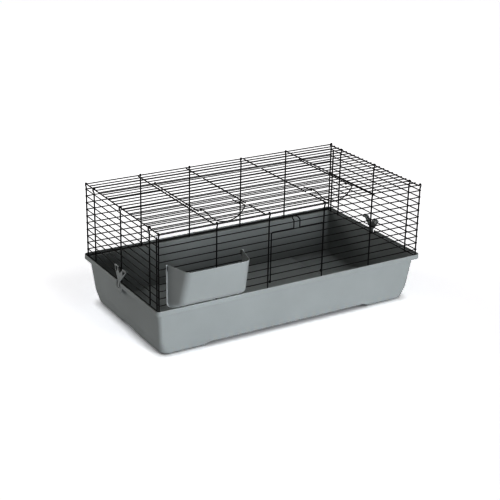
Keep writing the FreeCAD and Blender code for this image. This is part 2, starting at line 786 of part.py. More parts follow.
def add_tray(sketch, left, right, back, front, lean, corner):
    """One level of the rack: straight at the back, round corners in front.

    The back runs from -left to -right; the sides lean in towards the front.
    """
    arms = []
    for side, edge in [(-1, -left), (1, -right)]:
        centre_x = edge - (lean + corner) * side
        centre = FreeCAD.Vector(centre_x.value, (front + corner).value, 0)
        circle = Part.Circle(centre, FreeCAD.Vector(0, 0, 1), corner.value)
        start = math.pi if side < 0 else 1.5 * math.pi
        arc = sketch.addGeometry(Part.ArcOfCircle(circle, start, start + math.pi / 2))
        fix(sketch, "Radius", arc, corner)
        fix(sketch, "DistanceX", -1, 1, arc, 3, centre_x)
        fix(sketch, "DistanceY", -1, 1, arc, 3, front + corner)
        arms.append((arc, edge))
    (first, left_edge), (second, right_edge) = arms
    back_left = FreeCAD.Vector(left_edge.value, back.value, 0)
    back_right = FreeCAD.Vector(right_edge.value, back.value, 0)
    shapes = sketch.Geometry
    lines = [(back_left, shapes[first].StartPoint), (shapes[first].EndPoint, shapes[second].StartPoint),
             (shapes[second].EndPoint, back_right), (back_right, back_left)]
    side_a, nose, side_b, rear = [sketch.addGeometry(Part.LineSegment(*ends)) for ends in lines]
    for before, after, kind in [(side_a, first, "Tangent"), (first, nose, "Tangent"),
                                (nose, second, "Tangent"), (second, side_b, "Tangent"),
                                (side_b, rear, "Coincident"), (rear, side_a, "Coincident")]:
        sketch.addConstraint(Sketcher.Constraint(kind, before, 2, after, 1))
    fix(sketch, "DistanceX", -1, 1, side_a, 1, left_edge)
    fix(sketch, "DistanceY", -1, 1, side_a, 1, back)
    fix(sketch, "DistanceX", -1, 1, rear, 1, right_edge)
    fix(sketch, "DistanceY", -1, 1, rear, 1, back)


def rack_reach(rise, height):
    """Depth of the rack at rise above its floor: a sloping underside, then a steep front."""
    underside = size.rack_base_depth.value + 1.9 * rise
    front = size.rack_depth.value - 0.27 * (height - rise)
    blend = 8.0
    share = min(1.0, max(0.0, 0.5 + 0.5 * (front - underside) / blend))
    return front + (underside - front) * share - blend * share * (1 - share)


def rack_levels(body, inset, floor):
    """Levels from the rack's floor to its top, drawn inward by inset."""
    back = -size.rack_back_y + inset
    height = (size.rack_top - floor).value
    depth_range = size.rack_depth - size.rack_base_depth
    levels = []
    for angle in (0.0, 22.5, 45.0, 67.5):
        turn = math.radians(angle)
        levels.append((size.rack_round * (1 - math.cos(turn)), size.rack_round * (1 - math.sin(turn))))
    levels += [(Dim.of(rise), Dim.of(0)) for rise in (size.rack_round.value, 24.0, 29.0, 36.0)]
    levels.append((size.rack_top - floor, Dim.of(0)))
    sketches = []
    for rise, pinch in levels:
        reach = rack_reach(rise.value, height)
        share = (reach - size.rack_base_depth.value) / depth_range.value
        lean = Dim.of(1.0) + (size.rack_lean - 1) * share
        corner = size.rack_base_corner + (size.rack_corner - size.rack_base_corner) * share
        sketch = new_sketch(body, "XY_Plane", floor + rise)
        front = -size.rack_back_y - size.rack_base_depth - depth_range * share + inset
        add_tray(sketch, size.rack_left - pinch - inset, size.rack_right + pinch + inset,
                 back, front, lean, corner - inset)
        sketches.append(sketch)
    return sketches


def build_hay_rack():
    """A wedge-shaped trough with an open back, side flanges and two hooks."""
    wall = size.rack_wall
    flange = size.rack_flange
    body = new_body("hay_rack")
    loft(body, rack_levels(body, Dim.of(0), size.rack_bottom))
    loft(body, rack_levels(body, wall, size.rack_bottom + wall), "PartDesign::SubtractiveLoft")

    edges = new_sketch(body, "XZ_Plane", size.rack_back_y)
    for side, edge in [(-1, -size.rack_left), (1, -size.rack_right)]:
        near = edge - 1.5 * side
        far = edge + (flange - 1) * side
        add_outline(edges, [(near, size.rack_top), (far, size.rack_top),
                            (far, size.rack_bottom + 24), (near, size.rack_bottom + 14)])
    pad(body, edges, wall)

    back = -size.rack_back_y
    wire = row_height(6)
    for edge in (-size.rack_left, -size.rack_right):
        hook = new_sketch(body, "YZ_Plane", edge)
        add_outline(hook, [(back - wall, wire), (back - wall, wire + 13), (back + 5.9, wire + 13),
                           (back + 5.9, wire - 4), (back + 3.4, wire - 4), (back + 3.4, wire + 9),
                           (back, wire + 9), (back, wire)])
        pad(body, hook, 8, both_ways=True)


# ---------------------------------------------------------------- build, check and write

NODES = ["tub_shell", "front_level_wires", "front_uprights", "back_level_wires", "back_uprights",
         "left_level_wires", "left_uprights", "right_level_wires", "right_uprights",
         "roof_edge_wires", "roof_length_wires", "roof_cross_wires",
         "front_door_frame", "front_door_wires", "front_door_latch",
         "roof_door_length_wires", "roof_door_middle_wires", "roof_door_stiffeners",
         "roof_door_left_wire", "roof_door_right_wire",
         "roof_door_left_latch", "roof_door_right_latch",
         "left_clip", "right_clip", "hay_rack"]

build_tub()
build_front_wires()
build_back_and_side_wires()
build_uprights()
build_roof()
build_front_door()
build_front_latch()
build_roof_door()
build_roof_latches()
build_clip("left_clip", -1)
build_clip("right_clip", 1)
build_hay_rack()
doc.recompute()

for item in doc.Objects:
    if "Invalid" in item.State or "Error" in item.State:
        raise RuntimeError(item.Label + " did not rebuild")

os.makedirs("parts", exist_ok=True)
for node in NODES:
    shape = doc.getObjectsByLabel(node)[0].Shape
    if shape.isNull() or not shape.isValid():
        raise RuntimeError(node + " has no valid shape")
    shape.exportStep("parts/" + node + ".step")
    box = shape.BoundBox
    print("%-24s solids %3d  volume %10.0f  x %.1f %.1f  y %.1f %.1f  z %.1f %.1f"
          % (node, len(shape.Solids), shape.Volume, box.XMin, box.XMax,
             box.YMin, box.YMax, box.ZMin, box.ZMax))
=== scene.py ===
import json
import math

import bmesh
import bpy
from mathutils import Matrix, Vector


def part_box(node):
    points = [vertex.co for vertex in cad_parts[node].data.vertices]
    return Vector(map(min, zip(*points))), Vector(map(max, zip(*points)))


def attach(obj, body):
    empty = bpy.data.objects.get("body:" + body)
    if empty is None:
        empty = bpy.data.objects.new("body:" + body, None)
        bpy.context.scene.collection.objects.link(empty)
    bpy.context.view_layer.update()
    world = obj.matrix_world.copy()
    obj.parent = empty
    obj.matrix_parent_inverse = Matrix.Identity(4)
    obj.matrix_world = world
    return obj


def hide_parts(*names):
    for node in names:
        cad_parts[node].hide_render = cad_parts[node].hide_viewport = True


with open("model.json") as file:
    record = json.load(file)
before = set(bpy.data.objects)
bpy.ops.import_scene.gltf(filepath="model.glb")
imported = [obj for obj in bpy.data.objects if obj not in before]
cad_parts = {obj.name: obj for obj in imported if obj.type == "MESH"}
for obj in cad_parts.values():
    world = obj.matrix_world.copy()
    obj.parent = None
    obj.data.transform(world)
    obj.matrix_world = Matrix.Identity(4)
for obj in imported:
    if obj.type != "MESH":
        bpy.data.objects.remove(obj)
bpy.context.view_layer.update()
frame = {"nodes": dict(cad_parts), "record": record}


# ---------------------------------------------------------------- materials


GREY = (0.365, 0.387, 0.392)
BLACK = (0.012, 0.012, 0.013)


class Look:
    """A node material and the few nodes that the looks share."""

    def __init__(self, name, colour, roughness):
        self.material = bpy.data.materials.new(name)
        self.material.use_nodes = True
        self.nodes = self.material.node_tree.nodes
        self.links = self.material.node_tree.links
        self.shader = self.nodes["Principled BSDF"]
        self.shader.inputs["Base Color"].default_value = (*colour, 1)
        self.shader.inputs["Roughness"].default_value = roughness

    def noise(self, scale, detail):
        place = self.nodes.new("ShaderNodeTexCoord")
        texture = self.nodes.new("ShaderNodeTexNoise")
        texture.inputs["Scale"].default_value = scale
        texture.inputs["Detail"].default_value = detail
        self.links.new(place.outputs["Object"], texture.inputs["Vector"])
        return texture

    def clouded(self, texture, colour, share):
        """Let the colour vary by this share either way."""
        tint = self.nodes.new("ShaderNodeMix")
        tint.data_type = "RGBA"
        tint.inputs["A"].default_value = (*[c * (1 - share) for c in colour], 1)
        tint.inputs["B"].default_value = (*[c * (1 + share) for c in colour], 1)
        self.links.new(texture.outputs["Fac"], tint.inputs["Factor"])
        self.links.new(tint.outputs["Result"], self.shader.inputs["Base Color"])

    def uneven_gloss(self, texture, smoothest, roughest):
        gloss = self.nodes.new("ShaderNodeMapRange")
        gloss.inputs["To Min"].default_value = smoothest
        gloss.inputs["To Max"].default_value = roughest
        self.links.new(texture.outputs["Fac"], gloss.inputs["Value"])
        self.links.new(gloss.outputs["Result"], self.shader.inputs["Roughness"])

    def bumps(self, texture, strength, distance):
        bump = self.nodes.new("ShaderNodeBump")
        bump.inputs["Strength"].default_value = strength
        bump.inputs["Distance"].default_value = distance
        self.links.new(texture.outputs["Fac"], bump.inputs["Height"])
        self.links.new(bump.outputs["Normal"], self.shader.inputs["Normal"])


def plastic(name, roughness=0.38):
    """Moulded polypropylene: faint clouding in its colour, fine grain, uneven gloss."""
    look = Look(name, GREY, roughness)
    cloud = look.noise(scale=9, detail=4)
    grain = look.noise(scale=900, detail=3)
    look.clouded(cloud, GREY, 0.05)
    look.uneven_gloss(cloud, roughness - 0.08, roughness + 0.08)
    look.bumps(grain, strength=0.12, distance=0.0003)
    return look.material


def coating(name, roughness=0.38):
    """Powder coat on wire: black, a little uneven, with an orange-peel surface."""
    look = Look(name, BLACK, roughness)
    peel = look.noise(scale=700, detail=2)
    look.uneven_gloss(peel, roughness - 0.1, roughness + 0.12)
    look.bumps(peel, strength=0.25, distance=0.0002)
    return look.material


LOOKS = {
    "tub_plastic": plastic("tub_plastic_look"),
    "rack_plastic": plastic("rack_plastic_look", 0.32),
    "clip_plastic": plastic("clip_plastic_look"),
    "panel_wire": coating("panel_wire_look"),
    "door_wire": coating("door_wire_look"),
    "latch_wire": coating("latch_wire_look"),
}

for part in frame["record"]["subparts"]:
    node = frame["nodes"][part["node"]]
    node.data.materials.clear()
    node.data.materials.append(LOOKS[part["material_slot"]])


# ---------------------------------------------------------------- mesh helpers

MM = 0.001


def spread(first, last, count):
    """Evenly spaced numbers from first to last."""
    return [first + (last - first) * n / (count - 1) for n in range(count)]


def add_object(name, data):
    thing = bpy.data.objects.new(name, data)
    bpy.context.scene.collection.objects.link(thing)
    return thing


def new_piece(name, vertices, faces, body, slot, *nodes, sharp):
    """A mesh piece, given in millimetres, that rides on a body and stands for CAD nodes."""
    mesh = bpy.data.meshes.new(name)
    mesh.from_pydata([Vector(v) * MM for v in vertices], [], faces)
    mesh.validate()
    mesh.shade_smooth()
    weld(mesh)
    mesh.set_sharp_from_angle(angle=math.radians(sharp))
    mesh.materials.append(LOOKS[slot])
    piece = add_object(name, mesh)
    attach(piece, body)
    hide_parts(*nodes)


def weld(mesh):
    """Join points that coincide and turn every face outwards."""
    nearest = 0.00001
    draft = bmesh.new()
    draft.from_mesh(mesh)
    bmesh.ops.remove_doubles(draft, verts=draft.verts, dist=nearest)
    bmesh.ops.dissolve_degenerate(draft, edges=draft.edges, dist=nearest)
    bmesh.ops.recalc_face_normals(draft, faces=draft.faces)
    draft.to_mesh(mesh)
    draft.free()


def ring_faces(first, second, count):
    """Faces between two closed rings of points."""
    return [(first + n, first + (n + 1) % count, second + (n + 1) % count, second + n)
            for n in range(count)]


def tube_faces(base, levels, count):
    """Faces along a tube of closed rings, the first of which starts at base."""
    faces = []
    for level in range(levels - 1):
        start = base + level * count
        faces += ring_faces(start, start + count, count)
    return faces


def bar_faces(base, levels, count):
    """A tube and a face over each of its ends."""
    last = base + (levels - 1) * count
    ends = [list(range(base, base + count)), list(range(last, last + count))]
    return tube_faces(base, levels, count) + ends


# ---------------------------------------------------------------- tub


class TubShape:
    """The tub's own sizes, in millimetres, from its box in the frame."""

    low, high = (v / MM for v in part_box("tub_shell"))
    middle_y = (low.y + high.y) / 2
    half_length = (high.x - low.x) / 2
    half_width = (high.y - low.y) / 2
    straight_x = 430
    straight_y = 200
    top = high.z
    wall = 2.6
    flange = top - 9.1
    waist = 48.0
    waist_bend = 7.0
    end_insets = (12.0, 24.0, 35.0)
    side_insets = (16.0, 29.5, 35.0)
    wall_corner = 14.0
    foot_corner = 30.0
    bottom_radius = 12.0

    lip_bottom = top - 17.0
    lip_corner = 12.0
    lip_lean = 0.5
    lip_overlap = 0.6
    fillet = 1.8
    notch = 13.0

    arch = 13.5
    arch_end_x = 304.0
    arch_end_y = 40.0
    arch_run = 28.0


def below_waist(z, blend):
    """Depth below the waist, with a soft start."""
    below = TubShape.waist - z
    if abs(below) < blend:
        return (below + blend) ** 2 / (4 * blend)
    return max(0.0, below)


def wall_insets(z):
    """How far the outer faces of the ends and the sides stand in from the lip.

    The insets in TubShape are those at the flange, at the waist and at the floor.
    """
    tub = TubShape
    insets = []
    for flange, waist, foot in (tub.end_insets, tub.side_insets):
        upper_lean = (waist - flange) / (tub.flange - tub.waist)
        lower_lean = (foot - waist) / tub.waist
        extra = (lower_lean - upper_lean) * below_waist(z, tub.waist_bend)
        insets.append(flange + upper_lean * (tub.flange - z) + extra)
    return insets


def wall_radius(z):
    """The corners are tight above the waist and open out to the feet."""
    tub = TubShape
    slow_bend = 12.0
    share = below_waist(z, slow_bend) / tub.waist
    return tub.wall_corner + (tub.foot_corner - tub.wall_corner) * share


def underside(x, y):
    """Height of the tub's underside: four corner feet with raised stretches between them."""
    tub = TubShape
    along = 1 - (abs(x) - tub.arch_end_x) / tub.arch_run
    across = 1 - (abs(y) - tub.arch_end_y) / tub.arch_run
    return tub.arch * min(1.0, max(0.0, along, across))


def wall_ring(z, inward, floor=0.0):
    """A level of the wall, this far inside its outer face.

    Rings are (ends' inset from the lip, sides' inset, corner radius, height, floor's thickness).
    """
    end, side = wall_insets(z)
    return end + inward, side + inward, wall_radius(z) - inward, z, floor


def lip_ring(inset, z):
    """A level of the lip, whose faces lean in a little towards the top."""
    tub = TubShape
    lean = tub.lip_lean * max(0.0, z - tub.lip_bottom) / (tub.top - tub.lip_bottom)
    return inset + lean, inset + lean, tub.lip_corner - inset, z, 0.0


def wall_levels():
    """Heights up the wall between its rounded ends, closer together at the waist."""
    tub = TubShape
    bend = tub.waist_bend
    levels = spread(tub.bottom_radius + 1, tub.waist - bend - 3, 5)
    levels += spread(tub.waist - bend, tub.waist + bend, 7)
    levels += spread(tub.waist + 2 * bend, tub.flange - 5, 9)
    return levels


def inside_rings():
    """From the inside floor up the wall to its rounded mouth."""
    tub = TubShape
    wall, fillet = tub.wall, tub.fillet
    radius = tub.bottom_radius - wall
    rings = [wall_ring(wall + radius * (1 - math.cos(turn)), wall + radius * (1 - math.sin(turn)), wall)
             for turn in spread(0, math.pi / 2, 9)[:-1]]
    rings += [wall_ring(z, wall, wall) for z in wall_levels()]
    rings += [wall_ring(tub.flange - fillet * (1 - math.sin(turn)), wall - fillet * (1 - math.cos(turn)))
              for turn in spread(0, math.pi / 2, 5)]
    return rings


def lip_rings():
    """From the top of the flange over the lip to the underside of the flange."""
    tub = TubShape
    wall, fillet = tub.wall, tub.fillet
    edge = wall / 2
    under = tub.flange - wall
    rings = [wall_ring(tub.flange, -tub.lip_overlap)]
    rings += [lip_ring(wall + fillet * (1 - math.sin(turn)), tub.flange + fillet * (1 - math.cos(turn)))
              for turn in spread(0, math.pi / 2, 4)]
    rings += [lip_ring(edge + edge * math.cos(turn), tub.top - edge + edge * math.sin(turn))
              for turn in spread(0, math.pi, 9)]
    rings += [lip_ring(0.0, z) for z in spread(tub.top - 4, tub.lip_bottom + 3, 4)]
    rings += [lip_ring(edge - edge * math.cos(turn), tub.lip_bottom + edge - edge * math.sin(turn))
              for turn in spread(0, math.pi, 9)]
    rings += [lip_ring(wall + fillet * (1 - math.cos(turn)), under - fillet * (1 - math.sin(turn)))
              for turn in spread(0, math.pi / 2, 4)]
    rings.append(wall_ring(under, -tub.lip_overlap))
    return rings


def outside_rings():
    """From just below the flange down the wall and round to the underside."""
    tub = TubShape
    radius = tub.bottom_radius
    rings = [wall_ring(tub.flange - tub.wall - 1.5, 0.0)]
    rings += [wall_ring(z, 0.0) for z in reversed(wall_levels())]
    rings += [wall_ring(radius * (1 - math.cos(turn)), radius * (1 - math.sin(turn)))
              for turn in spread(math.pi / 2, 0, 13)[1:]]
    return rings


def side_steps(reach, breaks):
    """Places along a straight side: an even spacing, with closer ones at the breaks."""
    spacing = 20
    places = set(round(v, 3) for v in spread(-reach, reach, 2 * round(reach / spacing) + 1))
    for low, high in breaks:
        for v in spread(low, high, 7):
            places.update((round(v, 3), round(-v, 3)))
    return sorted(places)


CORNER_STEPS = 8


def contour(end_inset, side_inset, corner, along, across):
    """A ring's points as (x, y): four straight sides and four round corners."""
    tub = TubShape
    end_x = tub.half_length - end_inset - corner
    end_y = tub.half_width - side_inset - corner
    xs = [-end_x] + along + [end_x]
    ys = [-end_y] + across + [end_y]
    sides = [[(x, -end_y - corner) for x in xs], [(end_x + corner, y) for y in ys],
             [(x, end_y + corner) for x in reversed(xs)], [(-end_x - corner, y) for y in reversed(ys)]]
    centres = [(end_x, -end_y), (end_x, end_y), (-end_x, end_y), (-end_x, -end_y)]
    ring = []
    for number, (side, centre) in enumerate(zip(sides, centres)):
        ring += side
        for turn in spread(0, math.pi / 2, CORNER_STEPS + 1)[1:-1]:
            angle = turn + (number - 1) * math.pi / 2
            ring.append((centre[0] + corner * math.cos(angle), centre[1] + corner * math.sin(angle)))
    return ring


def close_ring(vertices, ring_start, along, across, level):
    """Fill a ring with a grid whose lines meet the ring's own points."""
    nx, ny = len(along) + 2, len(across) + 2
    side_x, side_y = nx + CORNER_STEPS - 1, ny + CORNER_STEPS - 1
    front, right = ring_start, ring_start + side_x
    rear, left = right + side_y, right + side_y + side_x
    total = 2 * (side_x + side_y)
    xs = [vertices[front + n][0] for n in range(nx)]
    ys = [vertices[right + n][1] for n in range(ny)]
    base = len(vertices)
    for y in ys:
        vertices += [(x, y, level(x, y)) for x in xs]

    def spot(i, j):
        return base + j * nx + i

    faces = [(spot(i, j), spot(i + 1, j), spot(i + 1, j + 1), spot(i, j + 1))
             for i in range(nx - 1) for j in range(ny - 1)]
    for i in range(nx - 1):
        faces.append((front + i, front + i + 1, spot(i + 1, 0), spot(i, 0)))
        faces.append((rear + i, rear + i + 1, spot(nx - 2 - i, ny - 1), spot(nx - 1 - i, ny - 1)))
    for j in range(ny - 1):
        faces.append((right + j, right + j + 1, spot(nx - 1, j + 1), spot(nx - 1, j)))
        faces.append((left + j, left + j + 1, spot(0, ny - 2 - j), spot(0, ny - 1 - j)))
    for arc, corner in [(front + nx - 1, spot(nx - 1, 0)), (right + ny - 1, spot(nx - 1, ny - 1)),
                        (rear + nx - 1, spot(0, ny - 1)), (left + ny - 1, spot(0, 0))]:
        for n in range(CORNER_STEPS):
            following = ring_start + (arc + n + 1 - ring_start) % total
            faces.append((arc + n, following, corner))
    return faces


def wall_faces(vertices, starts, notch_from, notch_to):
    """Faces from ring to ring, with a notch through those of the lip in the middle of each end."""
    tub = TubShape
    tolerance = 0.1
    count = starts[1]

    def in_notch(n):
        x, y, _ = vertices[n]
        return abs(x) > tub.half_length / 2 and abs(y - tub.middle_y) < tub.notch + tolerance

    notched = [n for n in range(count) if in_notch(n) and in_notch((n + 1) % count)]
    faces = []
    for number, (start, following) in enumerate(zip(starts, starts[1:])):
        level = ring_faces(start, following, count)
        if notch_from <= number < notch_to:
            level = [face for n, face in enumerate(level) if n not in notched]
        faces += level
    inner, outer = starts[notch_from], starts[notch_to]
    for n in notched:
        faces.append((inner + n, inner + n + 1, outer + n + 1, outer + n))
    cheeks = sorted(set(notched) ^ set(n + 1 for n in notched))
    for n in cheeks:
        faces.append([start + n for start in starts[notch_from:notch_to + 1]])
    return faces


def build_tub():
    """The whole moulding as rings, closed by a floor inside and underneath."""
    tub = TubShape
    slope_x = (tub.arch_end_x - 4, tub.arch_end_x + tub.arch_run + 6)
    slope_y = (tub.arch_end_y - 4, tub.arch_end_y + tub.arch_run + 2)
    along = side_steps(tub.straight_x, [slope_x])
    across = side_steps(tub.straight_y, [slope_y, (tub.notch, tub.notch + 3)])
    inside, lip, outside = inside_rings(), lip_rings(), outside_rings()
    vertices, starts = [], []
    for end_inset, side_inset, corner, z, floor in inside + lip + outside:
        starts.append(len(vertices))
        for x, y in contour(end_inset, side_inset, corner, along, across):
            vertices.append((x, y + tub.middle_y, max(z, floor + underside(x, y))))
    faces = wall_faces(vertices, starts, len(inside), len(inside) + len(lip) - 1)
    for start, thickness in [(starts[0], tub.wall), (starts[-1], 0.0)]:
        faces += close_ring(vertices, start, along, across,
                            lambda x, y: thickness + underside(x, y - tub.middle_y))
    for side in (-1, 1):
        add_apron(vertices, faces, side)
    new_piece("tub_moulding", vertices, faces, "tub", "tub_plastic", "tub_shell", sharp=50)


def add_apron(vertices, faces, side):
    """The half-round plate under the lip that guards a clip's stem, with soft edges.

    Each of its points is (depth from the lip's face, radius taken off, outer or inner arc).
    """
    tub = TubShape
    hang = tub.lip_bottom + 1.0
    well = tub.top - 10.5
    outside = 26.0
    start_turn = math.asin((hang - well) / tub.notch)
    steps = 25
    outer_turns = spread(-math.pi, 0, steps)
    inner_turns = spread(-math.pi - start_turn, start_turn, steps)
    base = len(vertices)
    soft = 0.5
    section = [(0.0, soft, 0), (soft, 0.0, 0), (tub.wall - soft, 0.0, 0), (tub.wall, soft, 0),
               (tub.wall, -soft, 1), (tub.wall - soft, 0.0, 1), (soft, 0.0, 1), (0.0, -soft, 1)]
    for outer_turn, inner_turn in zip(outer_turns, inner_turns):
        arcs = [(outside, outer_turn, hang), (tub.notch, inner_turn, well)]
        for depth, shrink, which in section:
            radius, turn, height = arcs[which]
            radius -= shrink
            vertices.append(((tub.half_length - depth) * side,
                             tub.middle_y + radius * math.cos(turn), height + radius * math.sin(turn)))
    faces += bar_faces(base, steps, len(section))


build_tub()


# ---------------------------------------------------------------- hay rack


class RackShape:
    """The rack's own sizes, in millimetres, from its box in the frame."""

    low, high = (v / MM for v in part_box("hay_rack"))
    flange = 6.0
    hook_reach = 5.9
    left = low.x + flange
    right = high.x - flange
    back = high.y - hook_reach
    depth = back - low.y
    base_depth = 7.6
    bottom = low.z
    top = high.z
    wall = 2.5
    corner = 20.0
    floor_edge = 1.5
    floor_lean = 1.0
    rim_lean = 17.0
    flange_bend = 1.0
    nose = 24.0
    nose_share = 0.8
    underside_slope = 1.9
    front_slope = 0.27
    knee = bottom + 46.0


def rack_reach(rise):
    """Depth at a height above the rack's floor: a sloping underside, then a steep front."""
    rack = RackShape
    underside = rack.base_depth + rack.underside_slope * rise
    front = rack.depth - rack.front_slope * (rack.top - rack.bottom - rise)
    blend = 14.0
    share = min(1.0, max(0.0, 0.5 + 0.5 * (front - underside) / blend))
    return front + (underside - front) * share - blend * share * (1 - share)


def between(start, end, count):
    """Points along a straight stretch, without its start."""
    (x0, y0), (x1, y1) = start, end
    return [(x0 + (x1 - x0) * t, y0 + (y1 - y0) * t) for t in spread(0, 1, count)[1:]]


def rack_outline(z, inset):
    """One level of the rack as an open line of points, from flange tip to flange tip.

    The line is first made for the left half, with x measured from the left side at the back.
    """
    rack = RackShape
    rise = z - rack.bottom
    reach = rack_reach(max(0.0, rise - inset * (rack.top - z) / (rack.top - rack.bottom)))

    # Low down, round corners bring the side (pinch) and the flange's tip inwards.
    drop = rack.corner - min(max(rise, inset), rack.corner)
    pinch = rack.corner - math.sqrt(max(0.0, (rack.corner - inset) ** 2 - drop ** 2))
    tip = rack.corner - (rack.corner + rack.flange) * math.sqrt(max(0.0, 1 - (drop / rack.corner) ** 2))

    # The floor meets the front in a small round edge.
    edge = rack.floor_edge
    lift = min(rise - inset, edge)
    front = rack.back - reach + inset + edge - math.sqrt(edge ** 2 - (edge - lift) ** 2)

    # The flange lies along the back and bends into the side.
    face = rack.back - rack.wall + inset
    points = [(tip, face), ((tip + min(pinch, 0.0)) / 2, face)]
    bend = rack.flange_bend + inset
    for turn in spread(0, math.pi / 2, 5):
        points.append((pinch - bend + bend * math.sin(turn), face - bend + bend * math.cos(turn)))

    # The side leans inwards towards the front, and a rounded nose turns it into the front.
    share = (reach - rack.base_depth) / (rack.depth - rack.base_depth)
    lean = rack.floor_lean + (rack.rim_lean - rack.floor_lean) * share
    nose_x = rack.nose - inset
    nose_y = min(rack.nose, reach * rack.nose_share) - inset
    start = math.atan2(nose_y * lean, nose_x * (reach - nose_y))
    arc = [(pinch + lean + nose_x * (1 - math.cos(turn)), front + nose_y * (1 - math.sin(turn)))
           for turn in spread(start, math.pi / 2, 13)]
    middle = (rack.right - rack.left) / 2
    points += between(points[-1], arc[0], 9)[:-1] + arc
    points += between(arc[-1], (middle, front), 9)
    half = [(rack.left + max(x, tip), y) for x, y in points]
    return half + [(rack.left + rack.right - x, y) for x, y in reversed(half[:-1])]


def build_rack():
    """A thin trough: outside, rounded rim, inside, closed at the flanges and along the floor."""
    rack = RackShape
    heights = [rack.bottom + rack.corner * (1 - math.cos(turn)) for turn in spread(0, math.pi / 2, 12)]
    rim = rack.wall / 2
    heights += spread(rack.bottom + rack.corner, rack.knee, 9)[1:]
    heights += spread(rack.knee, rack.top - rim, 9)[1:]
    rings = [(z, 0.0) for z in heights]
    for turn in spread(0, math.pi, 9)[1:-1]:
        rings.append((rack.top - rim + rim * math.sin(turn), rim - rim * math.cos(turn)))
    floor = rack.bottom + rack.wall
    rings += [(max(z, floor), rack.wall) for z in reversed(heights)]
    vertices, faces = [], []
    for z, inset in rings:
        vertices += [(x, y, z) for x, y in rack_outline(z, inset)]
    count = len(rack_outline(rack.top, 0.0))
    for level in range(len(rings) - 1):
        for n in range(count - 1):
            first = level * count + n
            faces.append((first, first + 1, first + count + 1, first + count))
    last = len(rings) - 1
    for level in range(last // 2):
        for end in (0, count - 1):
            faces.append((level * count + end, (level + 1) * count + end,
                          (last - level - 1) * count + end, (last - level) * count + end))
    under = len(vertices)
    for level, z in [(0, rack.bottom), (last, floor)]:
        vertices += [(vertices[level * count + n][0], rack.back, z) for n in range(count)]
    for n in range(count - 1):
        faces.append((n, n + 1, under + n + 1, under + n))
        faces.append((last * count + n, last * count + n + 1, under + count + n + 1, under + count + n))
        faces.append((under + n, under + n + 1, under + count + n + 1, under + count + n))
    for x in (rack.left, rack.right):
        add_hook(vertices, faces, x)
    new_piece("hay_rack_moulding", vertices, faces, "rack", "rack_plastic", "hay_rack", sharp=45)


def add_hook(vertices, faces, x):
    """A tab that rises from the flange and curls over a wire to the inside."""
    rack = RackShape
    wire = 310.0
    thick = rack.wall / 2
    radius = rack.hook_reach / 2
    near = rack.back - thick
    far = near + 2 * radius
    root, crown, tip = wire - 6.0, wire + 9.0, wire - 3.0
    path = [(near, z, 0.0) for z in spread(root, crown, 4)[:-1]]
    for turn in spread(0, math.pi, 13):
        path.append((near + radius * (1 - math.cos(turn)), crown + radius * math.sin(turn), turn))
    path += [(far, z, math.pi) for z in spread(crown, tip, 4)[1:]]
    path.append((far, tip - 0.9, math.pi))
    half_width = 4.0
    soft = 0.7
    tip_share = 0.75
    base = len(vertices)
    section = []
    for corner_x, corner_t, start in [(1, 1, 0), (-1, 1, 1), (-1, -1, 2), (1, -1, 3)]:
        for turn in spread(start * math.pi / 2, (start + 1) * math.pi / 2, 4):
            section.append((corner_x * (half_width - soft) + soft * math.cos(turn),
                            corner_t * (thick - soft) + soft * math.sin(turn)))
    for number, (y, z, turn) in enumerate(path):
        shrink = tip_share if number == len(path) - 1 else 1.0
        for across, out in section:
            vertices.append((x + across * shrink, y - out * shrink * math.cos(turn),
                             z + out * shrink * math.sin(turn)))
    faces += bar_faces(base, len(path), len(section))


build_rack()


# ---------------------------------------------------------------- side clips


def soften(points, radius):
    """Round each corner of a closed outline, over less than half of each side that meets there."""
    most = 0.45
    result = []
    for before, corner, after in zip(points[-1:] + points[:-1], points, points[1:] + points[:1]):
        corner = Vector(corner)
        ends = []
        for other in (before, after):
            leg = Vector(other) - corner
            ends.append(corner + leg * min(radius / leg.length, most))
        for t in spread(0, 1, 6):
            result.append(ends[0] * (1 - t) ** 2 + corner * 2 * t * (1 - t) + ends[1] * t ** 2)
    return result


def plate_mesh(outlines, thickness, soft):
    """Vertices and faces of a flat plate with holes and softened edges, in its own plane."""
    curve = bpy.data.curves.new("plate", "CURVE")
    curve.dimensions = "2D"
    curve.fill_mode = "BOTH"
    curve.extrude = thickness / 2 - soft
    curve.bevel_depth = soft
    curve.bevel_resolution = 2
    curve.offset = -soft
    for outline in outlines:
        spline = curve.splines.new("POLY")
        spline.points.add(len(outline) - 1)
        for point, place in zip(spline.points, outline):
            point.co = (place[0], place[1], 0, 1)
        spline.use_cyclic_u = True
    holder = bpy.data.objects.new("plate", curve)
    mesh = bpy.data.meshes.new_from_object(holder)
    bpy.data.objects.remove(holder)
    bpy.data.curves.remove(curve)
    vertices = [v.co.copy() for v in mesh.vertices]
    faces = [list(polygon.vertices) for polygon in mesh.polygons]
    bpy.data.meshes.remove(mesh)
    return vertices, faces


class ClipShape:
    """A side clip's own sizes, in millimetres. Outlines are one half, as (y, z) from its axis."""

    axis_x = 497.1
    axis_z = 214.0
    bore = 1.4
    ring = 4.0
    face = 3.4
    thickness = 3.5
    tilt = 6.8
    half = [(7.0, -59.0), (7.0, -41.0), (24.0, -22.5), (42.0, -1.0), (42.0, 6.5), (15.5, 6.5), (14.0, 0.0)]
    fork = (0.0, -13.0)
    corner = 3.0
    hole = [(20.5, -14.0), (34.0, -3.5), (34.0, 1.0), (19.5, 1.0), (19.5, -11.0)]
    hole_corner = 1.5
    edge = 0.7
    ring_edge = 0.4
    ear_turns = (3, 318)
    saddle_turns = (18, 162)
    rings = [(15.6, 19.6, ear_turns), (33.4, 41.9, ear_turns), (19.4, 33.6, saddle_turns)]


